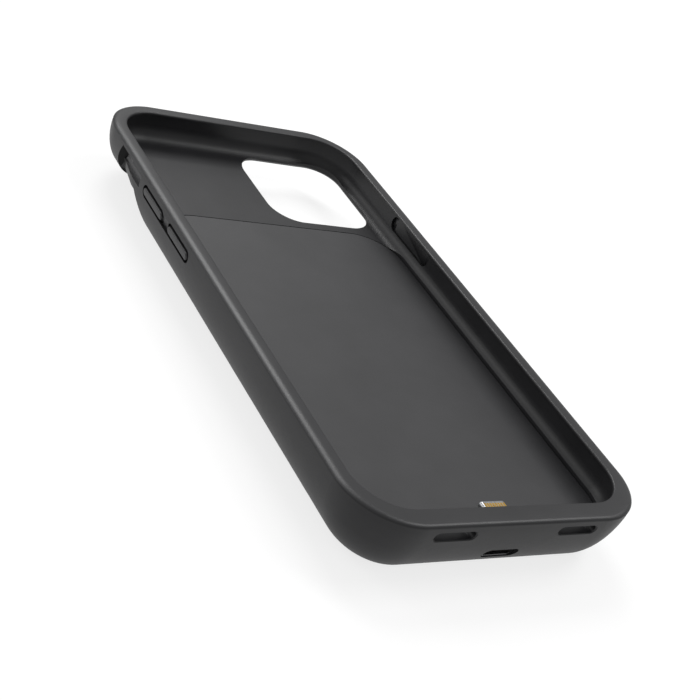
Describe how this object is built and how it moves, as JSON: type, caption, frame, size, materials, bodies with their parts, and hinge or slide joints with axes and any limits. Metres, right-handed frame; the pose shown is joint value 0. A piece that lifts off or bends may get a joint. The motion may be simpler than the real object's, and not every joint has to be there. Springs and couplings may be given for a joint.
{
  "type": "battery charging case",
  "caption": "Slim rounded case with an open bay for a flat handset, a battery bulge on its back, side keys, a plug in the bay and a charge port in the chin.",
  "frame": {"origin": "under the middle of the case, on the plane of its flat back", "axes": "+Y along the case to the camera end, +Z from the back to the open front, +X to the right of the open front"},
  "size_m": [0.0764, 0.1526, 0.015],
  "materials": {
    "shell_plastic": "fine matte soft-touch, charcoal",
    "rim_elastomer": "satin moulded elastomer, charcoal",
    "key_plastic": "fine matte, charcoal",
    "tray_plastic": "fine matte, dark grey",
    "pouch_foil": "satin laminated foil",
    "foam_tape": "white closed-cell foam",
    "board_laminate": "dark green solder mask",
    "chip_epoxy": "moulded black epoxy",
    "ferrite": "pressed grey ferrite",
    "capacitor_body": "fired tan body",
    "screw_steel": "plated steel",
    "port_steel": "drawn stainless sheet",
    "port_insulator": "moulded black",
    "plug_steel": "fine brushed stainless",
    "contact_gold": "gold plate",
    "plug_plastic": "fine matte, charcoal",
    "ribbon_film": "amber polyimide film",
    "switch_metal": "stamped can",
    "lamp_resin": "pale yellow resin",
    "guide_acrylic": "milky acrylic",
    "lead_red": "red wire cover",
    "lead_black": "black wire cover"
  },
  "bodies": {
    "case": {"outer_shell": "shell_plastic", "front_frame": "rim_elastomer", "inner_tray": "tray_plastic", "power_switch": "switch_metal", "status_leds": "lamp_resin", "light_guide": "guide_acrylic", "main_board": "board_laminate", "board_screws": "screw_steel", "power_inductor": "ferrite", "charge_controller": "chip_epoxy", "boost_controller": "chip_epoxy", "filter_capacitors": "capacitor_body", "charge_port_shell": "port_steel", "charge_port_tongue": "port_insulator", "plug_board": "board_laminate", "plug_tip": "plug_steel", "plug_contacts": "contact_gold", "plug_base": "plug_plastic", "plug_flex": "ribbon_film", "battery_cell": "pouch_foil", "battery_tape": "foam_tape", "battery_board": "board_laminate", "battery_lead_positive": "lead_red", "battery_lead_negative": "lead_black"},
    "volume_up_key": {"volume_up_button": "key_plastic"},
    "volume_down_key": {"volume_down_button": "key_plastic"},
    "side_key": {"side_button": "key_plastic"},
    "power_key": {"power_button": "key_plastic"}
  },
  "joints": [
    {"name": "volume_up_press", "type": "slide", "parent": "case", "child": "volume_up_key", "axis": [1, 0, 0], "range_m": [0, 0.0005], "stiffness_N_per_m": 1500},
    {"name": "volume_down_press", "type": "slide", "parent": "case", "child": "volume_down_key", "axis": [1, 0, 0], "range_m": [0, 0.0005], "stiffness_N_per_m": 1500},
    {"name": "side_press", "type": "slide", "parent": "case", "child": "side_key", "axis": [-1, 0, 0], "range_m": [0, 0.0005], "stiffness_N_per_m": 1500},
    {"name": "power_press", "type": "slide", "parent": "case", "child": "power_key", "axis": [0, 0, 1], "range_m": [0, 0.0003], "stiffness_N_per_m": 3000}
  ]
}
